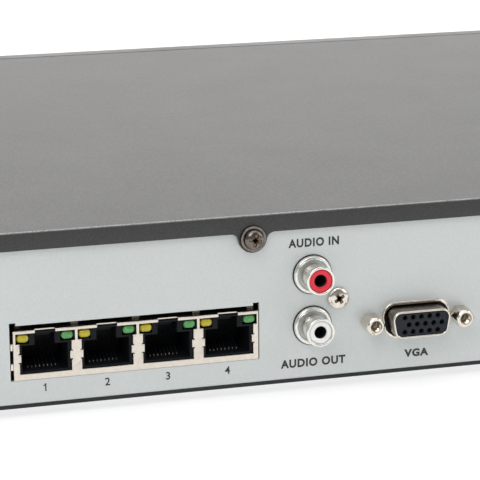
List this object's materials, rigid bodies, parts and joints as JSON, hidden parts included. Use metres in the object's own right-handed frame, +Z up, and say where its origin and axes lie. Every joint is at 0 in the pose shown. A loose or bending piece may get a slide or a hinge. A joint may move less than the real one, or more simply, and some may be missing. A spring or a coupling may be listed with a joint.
{
  "type": "network video recorder",
  "caption": "Compact network video recorder: bent-sheet case with a row of powered network jacks, audio, video and data sockets, a rocker switch, a drive and a fan inside.",
  "frame": {"origin": "under the middle of the case, at the bottom of the feet", "axes": "+X along the width, -Y out of the front bezel, +Y out of the rear panel, +Z up"},
  "size_m": [0.3298, 0.2744, 0.0488],
  "materials": {
    "cover_paint": "fine matt dark grey powder paint",
    "panel_zinc": "smooth pale zinc-coated steel",
    "black_plastic": "fine matt",
    "window_acrylic": "polished dark acrylic",
    "foot_rubber": "matt",
    "nickel": "bright nickel plate",
    "bronze_nickel": "dark nickel plate",
    "tin_plate": "bright tin plate",
    "yellow_lens": "translucent",
    "green_lens": "translucent",
    "red_insulator": "satin",
    "white_insulator": "satin",
    "dark_insert": "satin",
    "board_green": "solder resist",
    "aluminium": "satin",
    "platter_mirror": "polished",
    "cable_red": "satin",
    "cable_black": "satin"
  },
  "bodies": {
    "case": {"base_chassis": "panel_zinc", "top_cover": "cover_paint", "front_bezel": "black_plastic", "front_window": "window_acrylic", "foot_front_left": "foot_rubber", "foot_front_right": "foot_rubber", "foot_rear_left": "foot_rubber", "foot_rear_right": "foot_rubber", "cover_screw_rear_1": "bronze_nickel", "cover_screw_rear_2": "bronze_nickel", "cover_screw_left_1": "bronze_nickel", "cover_screw_left_2": "bronze_nickel", "cover_screw_right_1": "bronze_nickel", "cover_screw_right_2": "bronze_nickel", "audio_panel_screw": "nickel", "ground_screw": "nickel", "poe_shield": "tin_plate", "poe_housing": "black_plastic", "lan_shield": "tin_plate", "lan_housing": "black_plastic", "link_lamp_1": "yellow_lens", "activity_lamp_1": "green_lens", "link_lamp_2": "yellow_lens", "activity_lamp_2": "green_lens", "link_lamp_3": "yellow_lens", "activity_lamp_3": "green_lens", "link_lamp_4": "yellow_lens", "activity_lamp_4": "green_lens", "audio_in_shell": "nickel", "audio_out_shell": "nickel", "audio_in_insulator": "red_insulator", "audio_out_insulator": "white_insulator", "audio_jack_body": "black_plastic", "video_shell": "nickel", "video_insert": "dark_insert", "video_jackscrew_left": "nickel", "video_jackscrew_right": "nickel", "digital_video_shell": "nickel", "digital_video_tongue": "dark_insert", "usb_rear_shell": "nickel", "usb_rear_tongue": "white_insulator", "usb_front_shell": "nickel", "usb_front_tongue": "white_insulator", "dc_socket": "black_plastic", "dc_pin": "nickel", "power_switch_frame": "black_plastic", "front_board": "board_green", "main_board": "board_green", "heatsink": "aluminium", "drive_case": "aluminium", "drive_lid": "aluminium", "drive_board": "board_green", "fan_frame": "black_plastic", "drive_data_cable": "cable_red", "drive_power_cable": "cable_black"},
    "rocker": {"power_rocker": "black_plastic"},
    "fan_wheel": {"fan_rotor": "black_plastic"},
    "platter": {"drive_platter": "platter_mirror"},
    "head_arm": {"drive_actuator": "aluminium"}
  },
  "joints": [
    {"name": "rocker_tilt", "type": "hinge", "parent": "case", "child": "rocker", "pos_m": [-0.1355, 0.12705, 0.0244], "axis": [1, 0, 0], "range_deg": [0, 18]},
    {"name": "fan_spin", "type": "hinge", "parent": "case", "child": "fan_wheel", "pos_m": [-0.1545, -0.045, 0.025], "axis": [1, 0, 0], "continuous": true},
    {"name": "platter_spin", "type": "hinge", "parent": "case", "child": "platter", "pos_m": [-0.009, -0.0612, 0.0118], "axis": [0, 0, 1], "continuous": true},
    {"name": "head_swing", "type": "hinge", "parent": "case", "child": "head_arm", "pos_m": [0.046, -0.088, 0.0118], "axis": [0, 0, 1], "range_deg": [0, 34]}
  ]
}
